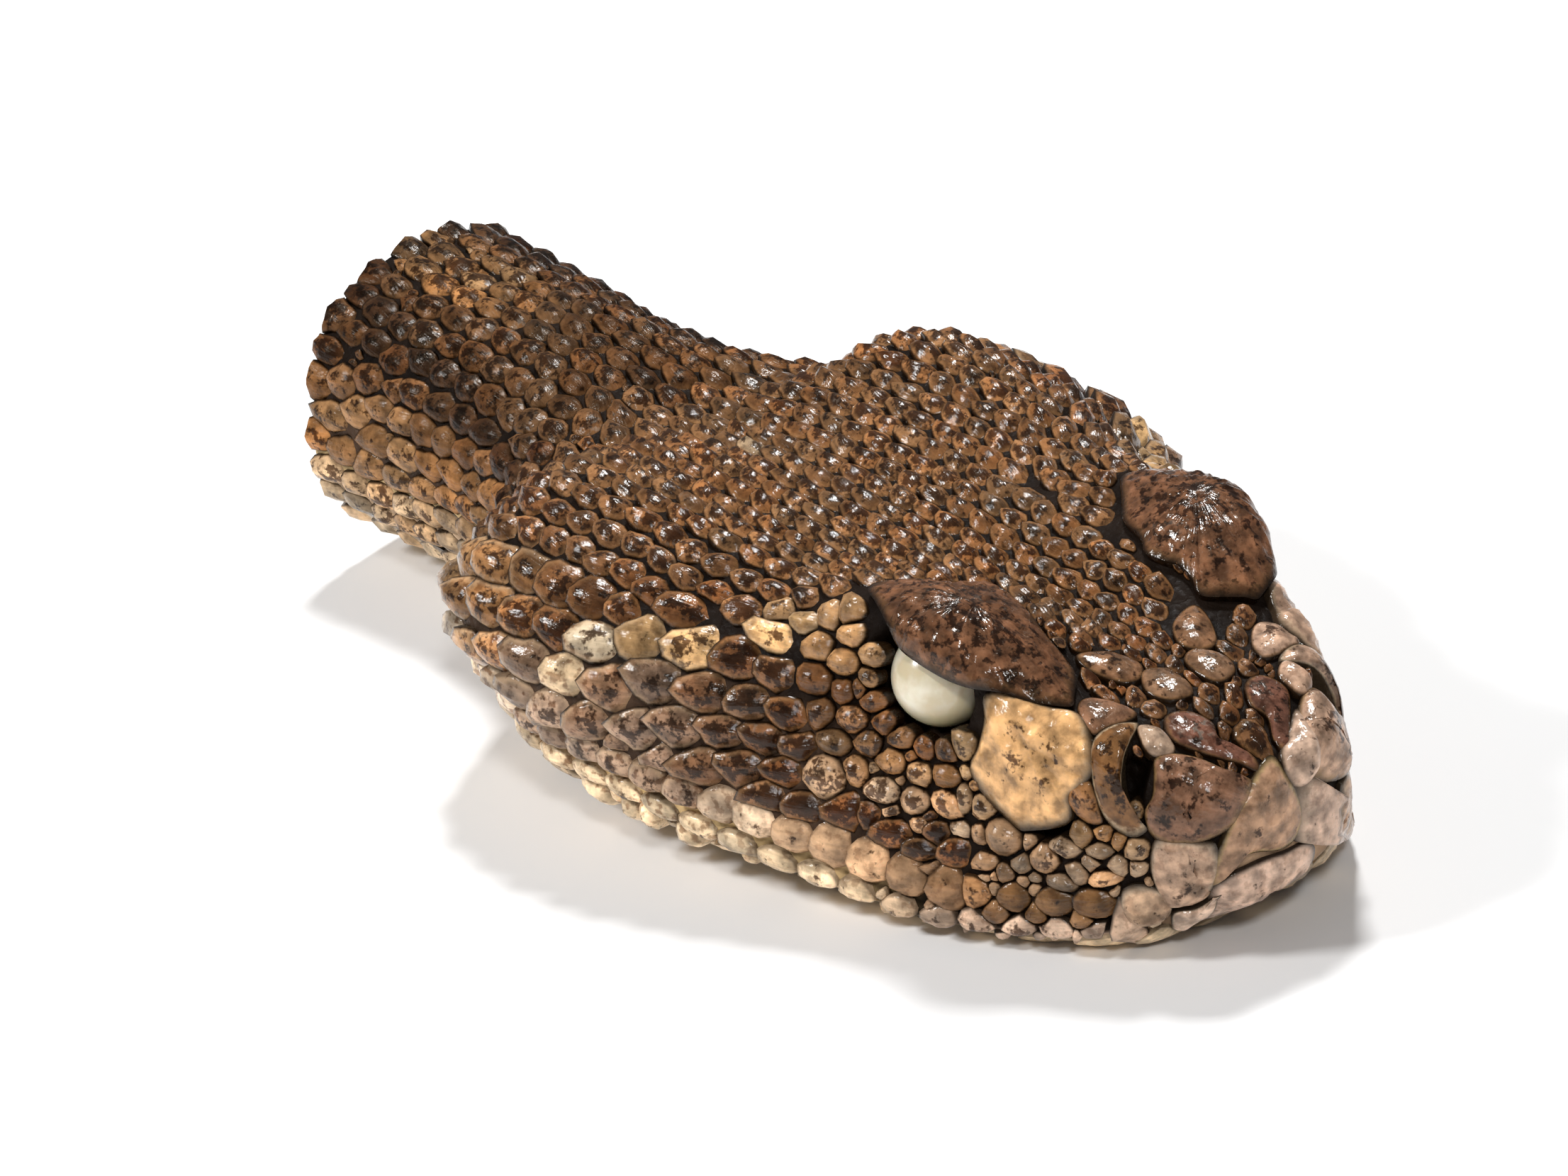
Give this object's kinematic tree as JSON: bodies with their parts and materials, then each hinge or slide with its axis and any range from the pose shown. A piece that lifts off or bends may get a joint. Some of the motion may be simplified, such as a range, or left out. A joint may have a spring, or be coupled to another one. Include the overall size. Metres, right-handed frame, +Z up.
{
  "type": "preserved rattlesnake head",
  "caption": "Preserved pit viper head with its stub of neck: broad jaws, raised brow shields, heat pits, a closed mouth and clouded eyes, lying on its chin.",
  "frame": {"origin": "middle of the bounding box on the surface that the chin and throat rest on", "axes": "+X towards the snout, +Y towards the animal's left, +Z up"},
  "size_m": [0.0812, 0.0374, 0.0173],
  "materials": {
    "dried_skin": "scaly skin, brown with dark mottling and cream lips, with a wet-looking sheen",
    "clouded_eye": "opaque ivory, glossy"
  },
  "bodies": {
    "root": {"head": "dried_skin", "left_eye": "clouded_eye", "right_eye": "clouded_eye"}
  },
  "joints": []
}
